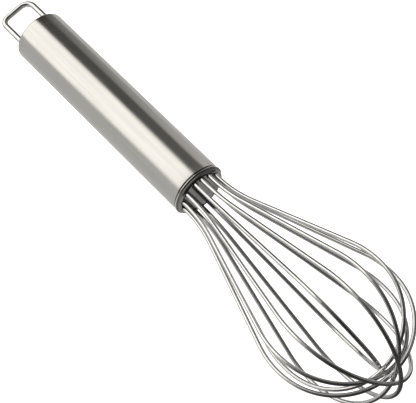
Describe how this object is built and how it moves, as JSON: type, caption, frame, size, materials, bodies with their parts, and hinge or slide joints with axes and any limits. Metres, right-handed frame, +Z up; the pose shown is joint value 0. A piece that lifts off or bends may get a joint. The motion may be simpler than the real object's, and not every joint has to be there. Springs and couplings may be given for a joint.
{
  "type": "balloon whisk",
  "caption": "Stainless balloon whisk with a round hollow handle, a perforated end cap, stacked wire loops in a pear shape and a fixed wire hanging loop.",
  "frame": {"origin": "on the worktop, under the middle of the whisk's bounding box, as it lies on its handle's closed end and two of its wires", "axes": "+X along the whisk from the hanging loop to the balloon's tip, +Z up; the whisk's own axis rises 5.8 degrees towards the tip"},
  "size_m": [0.2528, 0.0618, 0.0652],
  "materials": {
    "handle": "satin stainless steel, brushed lengthwise",
    "cap": "satin stainless steel, pressed",
    "plate": "plain stainless steel sheet",
    "hanger": "bright polished stainless steel wire",
    "wires": "bright polished stainless steel wire",
    "seat": "natural nylon",
    "resin": "set epoxy resin"
  },
  "bodies": {
    "root": {"handle_tube": "handle", "end_cap": "cap", "anchor_plate": "plate", "hanging_loop": "hanger", "wire_seat": "seat", "sealing_resin": "resin", "wire_loop_1": "wires", "wire_loop_2": "wires", "wire_loop_3": "wires", "wire_loop_4": "wires", "wire_loop_5": "wires", "wire_loop_6": "wires", "wire_loop_7": "wires"}
  },
  "joints": []
}
